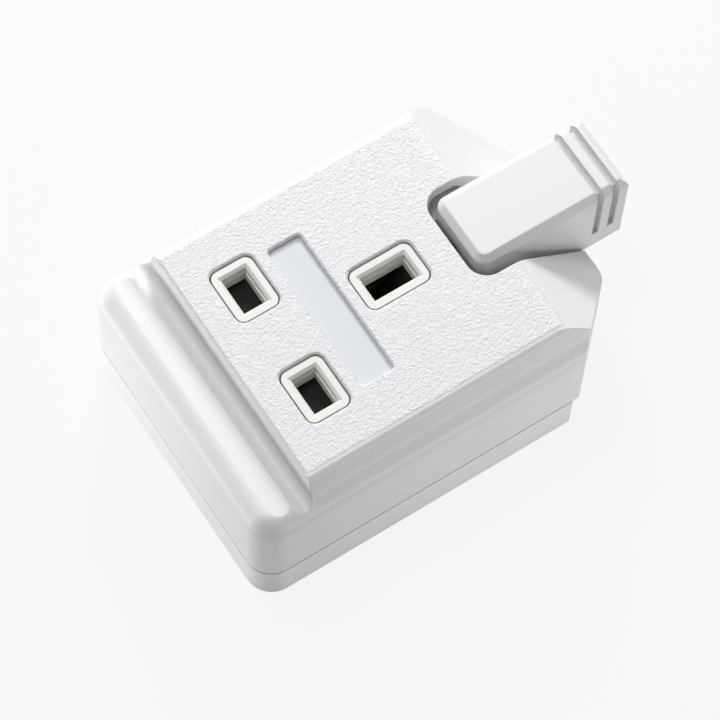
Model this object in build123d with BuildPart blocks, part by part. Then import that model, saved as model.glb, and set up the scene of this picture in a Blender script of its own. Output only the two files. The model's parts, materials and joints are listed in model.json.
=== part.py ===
"""A rewirable trailing socket for plugs with three flat pins, in millimetres.

X runs from the closed end towards the cord, Y across the body and Z up from the table.
The origin lies on the table, below the middle of the overall length.
"""

import os
from math import asin, atan2, cos, sin, sqrt

from build123d import *

os.makedirs("parts", exist_ok=True)

# Pin pattern: the line and neutral slots lie across the body, the earth slot along it
pin_spacing = 22.2
pin_row_offset = 21.5
live_slot_x = 4.85
live_slot_y = 7.4
earth_slot_x = 9.0
earth_slot_y = 4.95
slot_step = 0.2
slot_mouth = 0.5

# Body
body_length = 79.5
body_width = 56.8
body_height = 32.0
base_height = 8.4
wall = 2.4
corner_radius = 5.0
end_chamfer = 14.0
end_corner_radius = 5.0

# Stepped top: a raised plateau on a rounded shoulder
plateau_inset = 4.3
plateau_offset = 11.7
shoulder_drop = 5.0
shoulder_radius = 4.2
waist_inset = 2.9
waist_drop = 3.4
flank_inset = 1.1
ridge_offset = 7.7
cove_drop = 6.4
cove_lean = 0.4
cove_radius = 1.6
dish_offset = 3.4
dish_depth = 0.4
slope_offset = 64.2
slope_radius = 6.0
end_wall_height = 17.6
skin = 2.4
low_skin = 1.9

# Smooth recessed strip between the slots
strip_offset = 10.2
strip_width = 6.5
strip_length = 30.0
strip_depth = 1.0
strip_radius = 0.7

# Three-pad insert below the windows
pad_wall = 1.65
pad_radius = 1.5
pad_gap = 0.28
pad_recess = 0.45
window_lip = 0.35
insert_thickness = 2.2
insert_margin = 3.0
insert_reach = 17.0
insert_neck = 8.0

# Notch and cord guard
notch_offset = 57.05
notch_width = 16.9
notch_radius = 2.8
notch_draft = 4.2
guard_gap = 0.3
guard_reach = 8.8
guard_width = 16.0
guard_draft = 0.6
guard_bottom = 16.7
guard_rise = 1.6
guard_fall = 0.5
guard_lean = 0.9
guard_corner = 2.4
guard_bevel = 1.2
groove_width = 1.25
groove_inset = 2.35
groove_depth = 1.3
groove_pitch = 3.2
groove_foot = 20.8
cord_radius = 4.4
cord_height = 24.0
ear_width = 32.0
ear_length = 8.0
ear_thickness = 2.6

# Cord clamp below the guard
clamp_offset = 69.5
clamp_length = 5.0
clamp_thickness = 2.6
clamp_pad_width = 7.2
clamp_pad_length = 3.4
clamp_pad_reach = 0.5
clamp_screw_spacing = 25.0
clamp_window_gap = 0.4

# Shutter and its spring
shutter_thickness = 1.8
shutter_gap = 0.2
shutter_flap_x = 6.6
shutter_flap_y = 30.6
shutter_travel = 6.0
tongue_width = 8.4
tongue_window = 5.4
tongue_end = 1.6
wedge_rise = 6.0
wedge_width = 4.8
wedge_start = 2.0
spring_offset = 5.2
spring_length = 11.0
spring_radius = 1.3
spring_wire = 0.2
spring_wire_sides = 6
spring_turns = 8
spring_drop = 0.5
spring_nub = 0.7

# Contact carrier
carrier_thickness = 2.3
carrier_left = 7.0
carrier_right = 7.3
carrier_ear = 8.0
pocket_x = 8.0
pocket_y = 7.8
pocket_wall = 1.5
live_pocket_floor = 12.0
earth_pocket_x = 9.2
earth_pocket_floor = 8.2
stop_thickness = 1.2
carrier_screw_offset = 12.0
carrier_screw_gap = 0.2
carrier_screw_margin = 2.5

# Contacts and terminals
strip_thickness = 0.7
live_blade_y = 6.4
earth_blade_x = 7.4
blade_grip = 3.4
blade_foot = 5.8
blade_mouth = 5.4
live_blade_gap = 0.7
earth_blade_gap = 0.6
throat_drop = 3.0
terminal_size = 6.6
terminal_height = 8.0
terminal_gap = 0.1
live_terminal_offset = 12.0
earth_terminal_offset = 9.6
wire_hole_radius = 1.8
wire_hole_height = 5.0

# Screws
screw_radius = 1.45
screw_fit = 0.05
screw_hole_gap = 0.3
screw_slot_width = 0.8
screw_slot_depth = 0.7
terminal_head_radius = 2.3
terminal_head_height = 1.8
terminal_screw_reach = 4.0
clamp_head_radius = 2.6
clamp_head_height = 1.8
clamp_screw_reach = 8.6
cover_head_radius = 2.8
cover_head_height = 1.9
cover_screw_reach = 17.0
carrier_head_radius = 2.5
carrier_head_height = 1.8
carrier_screw_reach = 5.6
boss_wall = 1.7
boss_gap = 0.35

# Base
base_floor = 2.5
base_step = 1.0
lip_height = 2.0
lip_wall = 1.2
lip_gap = 0.2
parting_chamfer = 0.35
foot_chamfer = 0.3
counterbore_depth = 2.9
counterbore_gap = 0.3
post_size = 5.0
post_gap = 0.1
cover_screw_left = 5.2
cover_screw_right = 64.4
cover_screw_inset = 7.9

# Places worked out from the sizes above
closed_end_x = -(body_length + guard_reach) / 2
cord_end_x = closed_end_x + body_length
body_middle_x = (closed_end_x + cord_end_x) / 2
guard_end_x = cord_end_x + guard_reach
pin_row_x = closed_end_x + pin_row_offset
earth_x = pin_row_x + pin_spacing
strip_x = pin_row_x + strip_offset
plateau_x = closed_end_x + plateau_offset
ridge_x = closed_end_x + ridge_offset
plateau_width = body_width - 2 * plateau_inset
cove_z = body_height - cove_drop
cove_x = plateau_x - cove_lean - cove_radius
dish_x = closed_end_x + dish_offset
slope_x = closed_end_x + slope_offset
shoulder_z = body_height - shoulder_drop
waist_y = body_width / 2 - waist_inset
flank_y = body_width / 2 - flank_inset
shoulder_centre_y = body_width / 2 - shoulder_radius
shoulder_lean = asin((flank_y - shoulder_centre_y) / shoulder_radius)
flank_z = shoulder_z - shoulder_radius * (1 - cos(shoulder_lean))
ceiling_z = body_height - skin
low_ceiling_z = cove_z - low_skin
slope_angle = atan2(body_height - end_wall_height, cord_end_x - slope_x)
slope_run = (cord_end_x - slope_x) / (body_height - end_wall_height)
live_places = [(pin_row_x, -pin_spacing / 2), (pin_row_x, pin_spacing / 2)]

insert_bottom = ceiling_z - insert_thickness
shutter_top = insert_bottom - shutter_gap
shutter_bottom = shutter_top - shutter_thickness
carrier_top = shutter_bottom - shutter_gap
carrier_bottom = carrier_top - carrier_thickness
carrier_left_x = pin_row_x - carrier_left
carrier_right_x = earth_x + carrier_right
spring_x = pin_row_x + spring_offset
spring_stop_x = spring_x + spring_length
spring_z = shutter_bottom + shutter_thickness / 2 - spring_drop
wedge_low_x = earth_x - wedge_start
wedge_high_x = wedge_low_x + wedge_rise
live_blade_top = carrier_bottom - live_blade_gap
earth_blade_top = shutter_top - wedge_rise - earth_blade_gap
live_terminal_x = pin_row_x + live_terminal_offset
earth_terminal_x = earth_x + earth_terminal_offset

guard_x = closed_end_x + notch_offset + guard_gap
guard_top = body_height + guard_rise
groove_x = guard_end_x - guard_lean - groove_inset
clamp_x = closed_end_x + clamp_offset
ear_top = guard_bottom + ear_thickness
clamp_bottom = guard_bottom - clamp_thickness
clamp_places = [(clamp_x, -clamp_screw_spacing / 2), (clamp_x, clamp_screw_spacing / 2)]
pocket_side_y = pin_spacing / 2 + pocket_y / 2 + pocket_wall
carrier_screw_x = pin_row_x + carrier_screw_offset
carrier_screw_y = pocket_side_y + carrier_head_radius + carrier_screw_gap
carrier_width = 2 * (carrier_screw_y + carrier_screw_margin)
carrier_screw_places = [(carrier_screw_x, -carrier_screw_y), (carrier_screw_x, carrier_screw_y)]
cover_screw_y = body_width / 2 - cover_screw_inset
cover_screw_places = [
    (closed_end_x + cover_screw_left, -cover_screw_y),
    (closed_end_x + cover_screw_left, cover_screw_y),
    (closed_end_x + cover_screw_right, -cover_screw_y),
    (closed_end_x + cover_screw_right, cover_screw_y),
]
boss_radius = screw_radius + boss_wall
screw_bore = screw_radius + screw_fit
screw_clearance = screw_radius + screw_hole_gap


def slope_z(x, depth=0.0):
    """Height of the sloping top at x, or of a plane that lies depth below it."""
    return body_height - (x - slope_x) / slope_run - depth / cos(slope_angle)


def slope_crossing(z, depth=0.0):
    """Place along X where the sloping top, or a plane depth below it, has the height z."""
    return slope_x + (body_height - z - depth / cos(slope_angle)) * slope_run


# Plans of the shoulder, of the cover, of its inside, and of the base
with BuildSketch(Plane.XY.offset(base_height)) as shoulder_plan:
    with Locations((body_middle_x, 0)):
        Rectangle(body_length, body_width)
    fillet(shoulder_plan.vertices().group_by(Axis.X)[0], corner_radius)

with BuildSketch(Plane.XY.offset(base_height)) as cover_plan:
    with Locations((body_middle_x, 0)):
        Rectangle(body_length, body_width)
    fillet(cover_plan.vertices().group_by(Axis.X)[0], corner_radius)
    chamfer(cover_plan.vertices().group_by(Axis.X)[-1], end_chamfer)
    fillet(cover_plan.vertices().group_by(Axis.X)[-1], end_corner_radius)

with BuildSketch(Plane.XY.offset(base_height)) as cover_inner_plan:
    with Locations((body_middle_x, 0)):
        Rectangle(body_length - 2 * wall, body_width - 2 * wall)
    fillet(cover_inner_plan.vertices().group_by(Axis.X)[0], corner_radius - wall)
    chamfer(cover_inner_plan.vertices().group_by(Axis.X)[-1], end_chamfer - wall * (2 - sqrt(2)))
    fillet(cover_inner_plan.vertices().group_by(Axis.X)[-1], end_corner_radius - wall)

base_end_x = cord_end_x - base_step
base_length = base_end_x - closed_end_x
with BuildSketch() as base_plan:
    with Locations(((closed_end_x + base_end_x) / 2, 0)):
        Rectangle(base_length, body_width)
    fillet(base_plan.vertices().group_by(Axis.X)[0], corner_radius)
    chamfer(base_plan.vertices().group_by(Axis.X)[-1], end_chamfer + base_step * (sqrt(2) - 1))
    fillet(base_plan.vertices().group_by(Axis.X)[-1], end_corner_radius)

with BuildSketch(Plane.XY.offset(base_floor)) as base_inner_plan:
    with Locations(((closed_end_x + base_end_x) / 2, 0)):
        Rectangle(base_length - 2 * wall, body_width - 2 * wall)
    fillet(base_inner_plan.vertices().group_by(Axis.X)[0], corner_radius - wall)
    chamfer(base_inner_plan.vertices().group_by(Axis.X)[-1], end_chamfer - wall * (2 - sqrt(2)))
    fillet(base_inner_plan.vertices().group_by(Axis.X)[-1], end_corner_radius - wall)


# Space inside the cover, with the screw bosses left standing in it
with BuildPart() as cover_space:
    extrude(cover_inner_plan.sketch, amount=ceiling_z - base_height)
    with BuildSketch(Plane.XZ) as space_profile:
        with BuildLine():
            Polyline(
                (closed_end_x, base_height),
                (closed_end_x, low_ceiling_z),
                (plateau_x + wall, low_ceiling_z),
                (plateau_x + wall, ceiling_z),
                (slope_crossing(ceiling_z, skin), ceiling_z),
                (cord_end_x, slope_z(cord_end_x, skin)),
                (cord_end_x, base_height),
                close=True,
            )
        make_face()
    extrude(amount=body_width, both=True, mode=Mode.INTERSECT)
    with BuildSketch(Plane.XY.offset(low_ceiling_z)):
        with Locations((body_middle_x, 0)):
            Rectangle(body_length, body_width)
            Rectangle(body_length, 2 * (waist_y - wall), mode=Mode.SUBTRACT)
    extrude(amount=body_height - low_ceiling_z, mode=Mode.SUBTRACT)
    with BuildSketch(Plane.XY.offset(base_height)):
        with Locations(*cover_screw_places):
            Circle(boss_radius)
    extrude(amount=body_height - base_height, mode=Mode.SUBTRACT)
    with BuildSketch(Plane.XY.offset(ear_top)):
        with Locations(*clamp_places):
            Circle(boss_radius)
    extrude(amount=body_height - ear_top, mode=Mode.SUBTRACT)
    with BuildSketch(Plane.XY.offset(carrier_top)):
        with Locations(*carrier_screw_places):
            Circle(boss_radius)
    extrude(amount=body_height - carrier_top, mode=Mode.SUBTRACT)


def pad_outline(gap=0.0):
    """Outlines of the three pads, or of the windows that leave a gap around them."""
    growth = 2 * (pad_wall + gap)
    with Locations(*live_places):
        RectangleRounded(live_slot_x + growth, live_slot_y + growth, pad_radius + gap)
    with Locations((earth_x, 0)):
        RectangleRounded(earth_slot_x + growth, earth_slot_y + growth, pad_radius + gap)


def slot_outline(step=0.0):
    """Outlines of the three pin slots, smaller by a step on every side."""
    with Locations(*live_places):
        Rectangle(live_slot_x - 2 * step, live_slot_y - 2 * step)
    with Locations((earth_x, 0)):
        Rectangle(earth_slot_x - 2 * step, earth_slot_y - 2 * step)


# Moulded cover: rounded shoulder, plateau with flared flanks, cove, dished band and slope
with BuildPart() as top_cover:
    extrude(shoulder_plan.sketch, amount=shoulder_z - base_height)
    shoulder_edges = top_cover.faces().sort_by(Axis.Z)[-1].edges().sort_by(Axis.X)
    fillet(shoulder_edges[:-1], shoulder_radius)
    with BuildSketch(Plane.YZ.offset(cove_x)) as plateau_section:
        with BuildLine():
            flat = Line((-plateau_width / 2, body_height), (plateau_width / 2, body_height))
            far_flank = Spline(
                flat @ 1,
                (waist_y, body_height - waist_drop),
                (flank_y, flank_z),
                tangents=[(1, -0.3), (cos(shoulder_lean), -sin(shoulder_lean))],
            )
            near_flank = Spline(
                flat @ 0,
                (-waist_y, body_height - waist_drop),
                (-flank_y, flank_z),
                tangents=[(-1, -0.3), (-cos(shoulder_lean), -sin(shoulder_lean))],
            )
            Polyline(far_flank @ 1, (flank_y, base_height), (-flank_y, base_height), near_flank @ 1)
        make_face()
    extrude(amount=cord_end_x - cove_x)
    extrude(cover_plan.sketch, amount=body_height - base_height, mode=Mode.INTERSECT)
    with BuildSketch(Plane.XZ) as slope_cut:
        with BuildLine():
            Polyline(
                (slope_x - 3 * slope_radius, body_height),
                (slope_x, body_height),
                (cord_end_x + wall, slope_z(cord_end_x + wall)),
                (cord_end_x + wall, body_height + wall),
                (slope_x - 3 * slope_radius, body_height + wall),
                close=True,
            )
        make_face()
        fillet(slope_cut.vertices().sort_by_distance((slope_x, body_height))[0], slope_radius)
    extrude(amount=body_width, both=True, mode=Mode.SUBTRACT)
    with BuildSketch(Plane.XZ) as cove_cut:
        with BuildLine():
            fall = Line((plateau_x, body_height), (plateau_x - cove_lean, cove_z + cove_radius))
            bend = TangentArc(fall @ 1, (cove_x, cove_z), tangent=fall % 1)
            rise = TangentArc(bend @ 1, (ridge_x, shoulder_z), tangent=bend % 1)
            Polyline(
                rise @ 1,
                (ridge_x - pin_row_offset, shoulder_z),
                (ridge_x - pin_row_offset, body_height + wall),
                (plateau_x, body_height + wall),
                fall @ 0,
            )
        make_face()
    extrude(amount=body_width, both=True, mode=Mode.SUBTRACT)
    with BuildSketch(Plane.XZ) as dish_cut:
        with BuildLine():
            dish = Spline(
                (dish_x, shoulder_z),
                ((dish_x + ridge_x) / 2, shoulder_z - dish_depth),
                (ridge_x, shoulder_z),
                tangents=[(1, -0.1), (1, 0.5)],
            )
            Polyline(dish @ 1, (ridge_x, body_height), (dish_x, body_height), dish @ 0)
        make_face()
    extrude(amount=body_width, both=True, mode=Mode.SUBTRACT)
    add(cover_space.part, mode=Mode.SUBTRACT)
    with BuildSketch(Plane.XY.offset(body_height - strip_depth)):
        with Locations((strip_x, 0)):
            RectangleRounded(strip_width, strip_length, strip_radius)
    extrude(amount=2 * strip_depth, mode=Mode.SUBTRACT)
    with BuildSketch(Plane.XY.offset(low_ceiling_z)):
        pad_outline(pad_gap)
    extrude(amount=body_height, mode=Mode.SUBTRACT)
    window_edges = (
        top_cover.edges()
        .filter_by_position(Axis.Z, body_height - 0.01, body_height + 0.01)
        .filter_by_position(Axis.X, pin_row_x - live_slot_x, pin_row_x + live_slot_x)
        .filter_by_position(Axis.Y, -plateau_width / 2 + wall, plateau_width / 2 - wall)
    )
    chamfer(window_edges, window_lip)
    earth_edges = (
        top_cover.edges()
        .filter_by_position(Axis.Z, body_height - 0.01, body_height + 0.01)
        .filter_by_position(Axis.X, earth_x - earth_slot_x, earth_x + earth_slot_x)
        .filter_by_position(Axis.Y, -earth_slot_y, earth_slot_y)
    )
    chamfer(earth_edges, window_lip)
    with BuildSketch(Plane.XY.offset(guard_bottom - boss_gap)) as notch:
        notch_length = guard_end_x - closed_end_x - notch_offset
        with Locations((guard_end_x - notch_length / 2, 0)):
            Rectangle(notch_length, notch_width)
        fillet(notch.vertices().group_by(Axis.X)[0], notch_radius)
    extrude(amount=body_height, taper=-notch_draft, mode=Mode.SUBTRACT)
    chamfer(top_cover.faces().sort_by(Axis.Z)[0].outer_wire().edges(), parting_chamfer)
    with BuildSketch(Plane.XY.offset(base_height)):
        with Locations(*cover_screw_places):
            Circle(screw_bore)
    cover_hole_top = counterbore_depth + cover_screw_reach + screw_hole_gap
    extrude(amount=cover_hole_top - base_height, mode=Mode.SUBTRACT)
    with BuildSketch(Plane.XY.offset(ear_top)):
        with Locations(*clamp_places):
            Circle(screw_bore)
    extrude(amount=clamp_bottom + clamp_screw_reach - ear_top + screw_radius, mode=Mode.SUBTRACT)
    with BuildSketch(Plane.XY.offset(carrier_top)):
        with Locations(*carrier_screw_places):
            Circle(screw_bore)
    extrude(amount=carrier_bottom + carrier_screw_reach - carrier_top, mode=Mode.SUBTRACT)

top_cover.part.label = "top_cover"
export_step(top_cover.part, "parts/top_cover.step")


# Three-pad insert: a plate below the cover's skin, with the pads standing in the windows
with BuildPart() as socket_insert:
    with BuildSketch(Plane.XY.offset(insert_bottom)):
        flange_left = pin_row_x - live_slot_x / 2 - pad_wall - insert_margin
        flange_right = pin_row_x + live_slot_x / 2 + pad_wall + insert_margin
        neck_right = earth_x + earth_slot_x / 2 + pad_wall + insert_margin
        with Locations(((flange_left + flange_right) / 2, 0)):
            Rectangle(flange_right - flange_left, 2 * insert_reach)
        with Locations(((flange_left + neck_right) / 2, 0)):
            Rectangle(neck_right - flange_left, 2 * insert_neck)
    extrude(amount=insert_thickness)
    with BuildSketch(Plane.XY.offset(ceiling_z)):
        pad_outline()
    extrude(amount=skin - pad_recess)
    with BuildSketch(Plane.XY.offset(ceiling_z)):
        slot_outline()
    extrude(amount=skin, mode=Mode.SUBTRACT)
    with BuildSketch(Plane.XY.offset(insert_bottom)):
        slot_outline(slot_step)
    extrude(amount=insert_thickness, mode=Mode.SUBTRACT)
    for pad_face in socket_insert.faces().filter_by(Axis.Z).sort_by(Axis.Z)[-3:]:
        chamfer(pad_face.inner_wires()[0].edges(), slot_mouth)

socket_insert.part.label = "socket_insert"
export_step(socket_insert.part, "parts/socket_insert.step")


# Shutter: two flaps, a windowed tongue for the spring, and the wedge that the earth pin pushes
with BuildPart() as shutter:
    tongue_right = wedge_high_x + tongue_end
    window_right = wedge_low_x
    with BuildSketch(Plane.XY.offset(shutter_bottom)):
        with Locations((pin_row_x, 0)):
            Rectangle(shutter_flap_x, shutter_flap_y)
        with Locations(((pin_row_x + tongue_right) / 2, 0)):
            Rectangle(tongue_right - pin_row_x, tongue_width)
        with Locations(((spring_x + window_right) / 2, 0)):
            Rectangle(window_right - spring_x, tongue_window, mode=Mode.SUBTRACT)
    extrude(amount=shutter_thickness)
    with BuildSketch(Plane.XY.offset(shutter_bottom - wedge_rise)):
        with Locations(((wedge_low_x + wedge_high_x) / 2, 0)):
            Rectangle(wedge_rise, tongue_width)
    extrude(amount=shutter_thickness + wedge_rise, mode=Mode.SUBTRACT)
    with BuildSketch(Plane.XZ) as wedge:
        with BuildLine():
            Polyline(
                (wedge_low_x, shutter_top - wedge_rise),
                (wedge_high_x, shutter_top),
                (tongue_right, shutter_top),
                (tongue_right, shutter_top - wedge_rise),
                close=True,
            )
        make_face()
    extrude(amount=wedge_width / 2, both=True)
    with BuildSketch(Plane.XY.offset(shutter_bottom)):
        rail_width = (tongue_width - tongue_window) / 2
        rail_length = tongue_right - spring_x
        for side in (-1, 1):
            with Locations((spring_x + rail_length / 2, side * (tongue_width - rail_width) / 2)):
                Rectangle(rail_length, rail_width)
        with Locations((tongue_right - tongue_end / 2, 0)):
            Rectangle(tongue_end, tongue_width)
    extrude(amount=shutter_thickness)
    with BuildSketch(Plane.YZ.offset(spring_x)):
        with Locations((0, spring_z)):
            Circle(spring_nub)
    extrude(amount=spring_nub)

shutter.part.label = "shutter"
export_step(shutter.part, "parts/shutter.step")


# Return spring between the shutter and the carrier's stop
with BuildPart() as shutter_spring:
    with BuildLine() as coil_path:
        Helix(
            pitch=(spring_length - 2 * spring_wire) / spring_turns,
            height=spring_length - 2 * spring_wire,
            radius=spring_radius,
            center=(spring_x + spring_wire, 0, spring_z),
            direction=(1, 0, 0),
        )
    with BuildSketch(Plane(origin=coil_path.line @ 0, z_dir=coil_path.line % 0)):
        RegularPolygon(spring_wire, spring_wire_sides)
    sweep(path=coil_path.line, is_frenet=True)

shutter_spring.part.label = "shutter_spring"
export_step(shutter_spring.part, "parts/shutter_spring.step")


# Contact carrier: plate, shutter rails, pockets for the contacts and beds for the terminals
live_bed_left = live_terminal_x - terminal_size / 2 - terminal_gap
live_bed_right = live_terminal_x + terminal_size / 2 + terminal_gap
earth_bed_left = earth_terminal_x - terminal_size / 2 - terminal_gap
earth_bed_right = earth_terminal_x + terminal_size / 2 + terminal_gap
bed_width = terminal_size + 2 * terminal_gap
live_pocket_left = pin_row_x - pocket_x / 2 - pocket_wall
earth_pocket_left = earth_x - earth_pocket_x / 2 - pocket_wall
earth_pocket_right = earth_x + earth_pocket_x / 2 + pocket_wall
wedge_channel = tongue_width + 2 * shutter_gap
wedge_bottom = shutter_top - wedge_rise - shutter_gap
channel_left = earth_x - earth_slot_x / 2

with BuildPart() as contact_carrier:
    with BuildSketch(Plane.XY.offset(carrier_bottom)):
        with Locations(((carrier_left_x + live_bed_right) / 2, 0)):
            Rectangle(live_bed_right - carrier_left_x, 2 * insert_reach)
        with Locations(((carrier_left_x + carrier_right_x) / 2, 0)):
            Rectangle(carrier_right_x - carrier_left_x, 2 * insert_neck)
        with Locations((carrier_screw_x, 0)):
            Rectangle(carrier_ear, carrier_width)
    extrude(amount=carrier_thickness)
    with BuildSketch(Plane.XY.offset(carrier_top)):
        rail_reach = (2 * insert_reach - shutter_flap_y) / 2 - shutter_gap
        flap_run = shutter_flap_x + shutter_travel
        for side in (-1, 1):
            with Locations((pin_row_x + shutter_travel / 2, side * (insert_reach - rail_reach / 2))):
                Rectangle(flap_run, rail_reach)
        guide_width = insert_neck - wedge_channel / 2
        guide_left = pin_row_x + shutter_flap_x / 2 + shutter_travel + shutter_gap
        guide_length = carrier_right_x - guide_left
        for side in (-1, 1):
            with Locations((guide_left + guide_length / 2, side * (insert_neck - guide_width / 2))):
                Rectangle(guide_length, guide_width)
        with Locations((spring_stop_x + stop_thickness / 2, 0)):
            Rectangle(stop_thickness, tongue_window - 2 * shutter_gap)
    extrude(amount=insert_bottom - carrier_top)
    with BuildSketch(Plane.XY.offset(live_pocket_floor)):
        pocket_length = live_bed_right - live_pocket_left
        for side in (-1, 1):
            with Locations((live_pocket_left + pocket_length / 2, side * pin_spacing / 2)):
                Rectangle(pocket_length, pocket_y + 2 * pocket_wall)
    extrude(amount=carrier_bottom - live_pocket_floor)
    with BuildSketch(Plane.XY.offset(earth_pocket_floor)):
        with Locations(((earth_pocket_left + earth_pocket_right) / 2, 0)):
            Rectangle(earth_pocket_right - earth_pocket_left, pocket_y + 2 * pocket_wall)
    extrude(amount=carrier_bottom - earth_pocket_floor)
    with BuildSketch(Plane.XY.offset(earth_pocket_floor)):
        with Locations(((earth_pocket_left + earth_bed_right) / 2, 0)):
            Rectangle(earth_bed_right - earth_pocket_left, bed_width + 2 * pocket_wall)
    extrude(amount=terminal_height + terminal_gap + pocket_wall)
    with BuildSketch(Plane.XY.offset(earth_pocket_floor)):
        with Locations(*live_places):
            Rectangle(pocket_x, pocket_y)
        with Locations((earth_x, 0)):
            Rectangle(earth_pocket_x, pocket_y)
    extrude(amount=carrier_bottom - earth_pocket_floor, mode=Mode.SUBTRACT)
    with BuildSketch(Plane.XY.offset(carrier_bottom)):
        with Locations(*live_places):
            Rectangle(live_slot_x + 2 * slot_step, live_slot_y + 2 * slot_step)
    extrude(amount=carrier_thickness, mode=Mode.SUBTRACT)
    with BuildSketch(Plane.XY.offset(live_pocket_floor)):
        for side in (-1, 1):
            with Locations((live_bed_left + terminal_size, side * pin_spacing / 2)):
                Rectangle(2 * terminal_size, bed_width)
    extrude(amount=terminal_height + terminal_gap, mode=Mode.SUBTRACT)
    with BuildSketch(Plane.XY.offset(earth_pocket_floor)):
        with Locations((earth_bed_left + terminal_size, 0)):
            Rectangle(2 * terminal_size, bed_width)
    extrude(amount=terminal_height + terminal_gap, mode=Mode.SUBTRACT)
    with BuildSketch(Plane.XY.offset(wedge_bottom)):
        channel_length = carrier_right_x + shutter_travel - channel_left
        with Locations((channel_left + channel_length / 2, 0)):
            Rectangle(channel_length, wedge_channel)
    extrude(amount=insert_bottom - wedge_bottom, mode=Mode.SUBTRACT)
    groove_half = spring_radius + spring_wire + shutter_gap
    with BuildSketch(Plane.YZ.offset(pin_row_x + shutter_flap_x / 2)):
        with Locations((0, spring_z)):
            Rectangle(2 * groove_half, 2 * groove_half)
    extrude(amount=spring_stop_x - pin_row_x - shutter_flap_x / 2, mode=Mode.SUBTRACT)
    with BuildSketch(Plane.XY.offset(carrier_bottom)):
        with Locations(*carrier_screw_places):
            Circle(screw_clearance)
    extrude(amount=carrier_thickness, mode=Mode.SUBTRACT)
    with BuildSketch(Plane.YZ.offset(spring_stop_x)):
        with Locations((0, spring_z)):
            Circle(spring_nub)
    extrude(amount=-spring_nub)

contact_carrier.part.label = "contact_carrier"
export_step(contact_carrier.part, "parts/contact_carrier.step")


def clip_line(top, foot):
    """Centre line of a folded clip: foot, two leaves that close on the pin, flared mouth."""
    foot_half = (blade_foot - strip_thickness) / 2
    grip_half = (blade_grip + strip_thickness) / 2
    mouth_half = (blade_mouth - strip_thickness) / 2
    FilletPolyline(
        (-mouth_half, top),
        (-grip_half, top - throat_drop),
        (-foot_half, foot),
        (foot_half, foot),
        (grip_half, top - throat_drop),
        (mouth_half, top),
        radius=strip_thickness,
    )


# Line and neutral contacts, mirror images of each other
for name, y in (("line", -pin_spacing / 2), ("neutral", pin_spacing / 2)):
    foot_z = live_pocket_floor - strip_thickness / 2
    with BuildPart() as contact:
        with BuildSketch(Plane(origin=(pin_row_x, y, 0), x_dir=(1, 0, 0), z_dir=(0, -1, 0))):
            with BuildLine():
                clip_line(live_blade_top, foot_z)
            trace(line_width=strip_thickness)
        extrude(amount=live_blade_y / 2, both=True)
        with BuildSketch(Plane.XY.offset(live_pocket_floor - strip_thickness)):
            tail_length = live_terminal_x + terminal_size / 2 - pin_row_x
            with Locations((pin_row_x + tail_length / 2, y)):
                Rectangle(tail_length, live_blade_y)
            with Locations((live_terminal_x, y)):
                Circle(screw_clearance, mode=Mode.SUBTRACT)
        extrude(amount=strip_thickness)
    contact.part.label = name + "_contact"
    export_step(contact.part, "parts/" + name + "_contact.step")

# Earth contact, turned to grip the pin's flat sides
with BuildPart() as earth_contact:
    earth_foot_z = earth_pocket_floor - strip_thickness / 2
    with BuildSketch(Plane.YZ.offset(earth_x)):
        with BuildLine():
            clip_line(earth_blade_top, earth_foot_z)
        trace(line_width=strip_thickness)
    extrude(amount=earth_blade_x / 2, both=True)
    with BuildSketch(Plane.XY.offset(earth_pocket_floor - strip_thickness)):
        earth_tail = earth_terminal_x + terminal_size / 2 - earth_x
        with Locations((earth_x + earth_tail / 2, 0)):
            Rectangle(earth_tail, blade_foot)
        with Locations((earth_terminal_x, 0)):
            Circle(screw_clearance, mode=Mode.SUBTRACT)
    extrude(amount=strip_thickness)

earth_contact.part.label = "earth_contact"
export_step(earth_contact.part, "parts/earth_contact.step")


# Terminals: a brass block with a cross hole for the wire, and the screw that clamps it
terminal_places = (
    ("line", live_terminal_x, -pin_spacing / 2, live_pocket_floor),
    ("neutral", live_terminal_x, pin_spacing / 2, live_pocket_floor),
    ("earth", earth_terminal_x, 0, earth_pocket_floor),
)
for name, x, y, z in terminal_places:
    with BuildPart() as terminal:
        with BuildSketch(Plane.XY.offset(z)):
            with Locations((x, y)):
                RectangleRounded(terminal_size, terminal_size, screw_hole_gap)
        extrude(amount=terminal_height)
        with BuildSketch(Plane.YZ.offset(x - terminal_size)):
            with Locations((y, z + wire_hole_height)):
                Circle(wire_hole_radius)
        extrude(amount=2 * terminal_size, mode=Mode.SUBTRACT)
        with BuildSketch(Plane.XY.offset(z)):
            with Locations((x, y)):
                Circle(screw_bore)
        extrude(amount=wire_hole_height, mode=Mode.SUBTRACT)
    terminal.part.label = name + "_terminal"
    export_step(terminal.part, "parts/" + name + "_terminal.step")

    tail_z = z - strip_thickness
    with BuildPart() as terminal_screw:
        with BuildSketch(Plane.XY.offset(tail_z)):
            with Locations((x, y)):
                Circle(screw_radius)
        extrude(amount=strip_thickness + terminal_screw_reach)
        with BuildSketch(Plane.XY.offset(tail_z)):
            with Locations((x, y)):
                Circle(terminal_head_radius)
        extrude(amount=-terminal_head_height)
        chamfer(terminal_screw.faces().sort_by(Axis.Z)[0].edges(), screw_hole_gap)
        with BuildSketch(Plane.XY.offset(tail_z - terminal_head_height)):
            with Locations((x, y)):
                Rectangle(2 * terminal_head_radius, screw_slot_width)
        extrude(amount=screw_slot_depth, mode=Mode.SUBTRACT)
    terminal_screw.part.label = name + "_terminal_screw"
    export_step(terminal_screw.part, "parts/" + name + "_terminal_screw.step")


def guard_section(top, inset=0.0):
    """Corners of the guard's cross-section with drafted sides, or of one that lies inset in it."""
    foot_y = guard_width / 2 - inset
    lean = guard_draft * (top - guard_bottom) / (guard_top - guard_bottom)
    return [
        (-foot_y, guard_bottom),
        (-foot_y + lean, top),
        (foot_y - lean, top),
        (foot_y, guard_bottom),
    ]


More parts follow.
